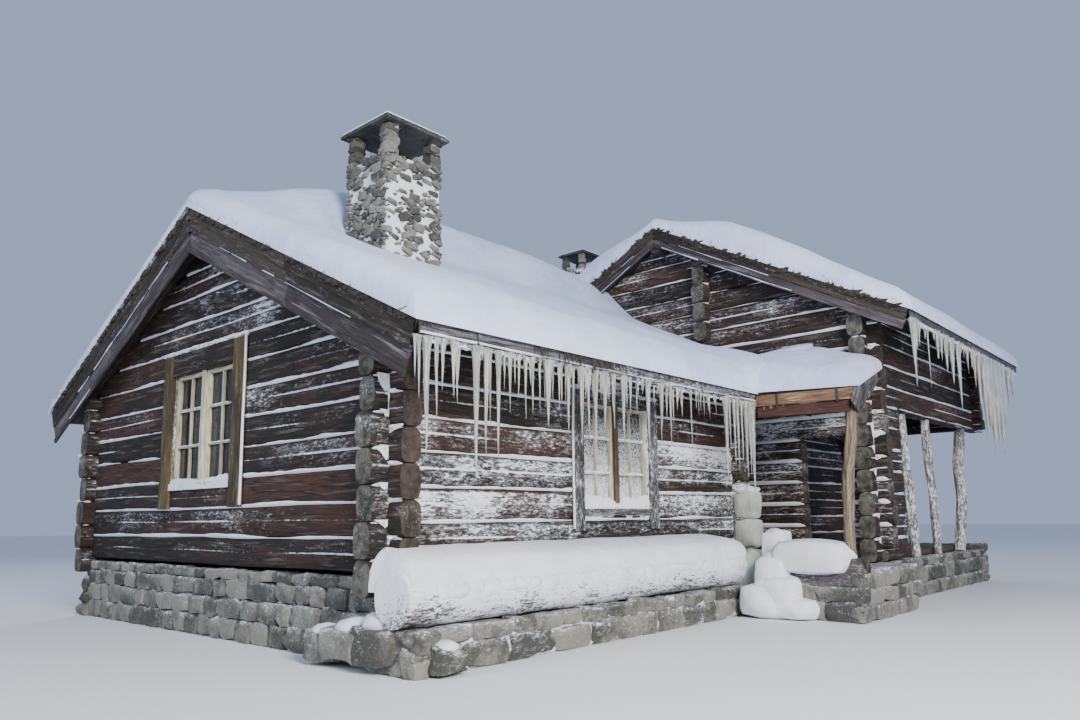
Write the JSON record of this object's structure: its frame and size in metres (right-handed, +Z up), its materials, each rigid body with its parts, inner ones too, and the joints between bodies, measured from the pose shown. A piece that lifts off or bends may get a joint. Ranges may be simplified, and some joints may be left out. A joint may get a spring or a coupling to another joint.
{
  "type": "log chalet",
  "caption": "Low log chalet of two joined wings with snow-covered turf roofs, stone chimneys, a porch and an open gallery.",
  "frame": {"origin": "middle of the base of the whole house, at the lowest ground point", "axes": "+X along both ridges from the front wing's window gable to the rear wing, +Y from the long window wall to the back, +Z up"},
  "size_m": [11.92, 8.66, 5.82],
  "materials": {
    "log": "dark weathered hewn logs with red-brown and grey patches and frost",
    "rubble": "rough grey and tan stones laid in pale mortar",
    "slate": "dark flat slate with moss at the edge",
    "floor_board": "plain scrubbed floor boards",
    "olive_casing": "olive-brown weathered casing boards",
    "grey_casing": "grey weathered casing boards",
    "cream_sash": "cream painted sashes, worn",
    "window_glass": "clear window glass",
    "turf": "turf on birch bark and boards",
    "weathered_board": "grey-brown weathered boards",
    "fresh_board": "fresh orange-brown boards",
    "pale_post": "pale barked poles, weathered",
    "snow": "packed snow, smooth and matt"
  },
  "bodies": {
    "root": {"front_foundation": "rubble", "front_floor": "floor_board", "front_wall": "log", "window_gable_wall": "log", "back_wall": "log", "end_wall": "log", "gable_window_casing": "olive_casing", "gable_window_sash": "cream_sash", "gable_window_glass": "window_glass", "front_window_casing": "grey_casing", "front_window_sash": "cream_sash", "front_window_glass": "window_glass", "back_window_casing": "grey_casing", "back_window_sash": "cream_sash", "back_window_glass": "window_glass", "front_ridge_log": "log", "front_roof_south": "turf", "front_roof_north": "turf", "front_verge_boards": "weathered_board", "front_eave_board": "weathered_board", "chimney_stack": "rubble", "chimney_cap": "slate", "front_roof_snow": "snow", "base_log": "log", "base_log_snow": "snow", "link_back_wall": "log", "porch_platform": "rubble", "porch_kerb_log": "log", "porch_post": "pale_post", "porch_beam": "pale_post", "porch_roof": "weathered_board", "porch_fascia": "fresh_board", "porch_roof_snow": "snow", "rear_foundation": "rubble", "rear_floor": "floor_board", "rear_west_wall": "log", "rear_east_wall": "log", "rear_north_wall": "log", "rear_body_wall": "log", "gallery_wall": "log", "gallery_post_1": "pale_post", "gallery_post_2": "pale_post", "gallery_post_3": "pale_post", "east_window_casing": "olive_casing", "east_window_sash": "cream_sash", "east_window_glass": "window_glass", "rear_ridge_log": "log", "rear_roof_south": "turf", "rear_roof_north": "turf", "rear_west_verge_boards": "weathered_board", "rear_east_verge_boards": "weathered_board", "rear_eave_board": "weathered_board", "rear_chimney_stack": "rubble", "rear_chimney_cap": "slate", "rear_roof_snow": "snow"}
  },
  "joints": []
}
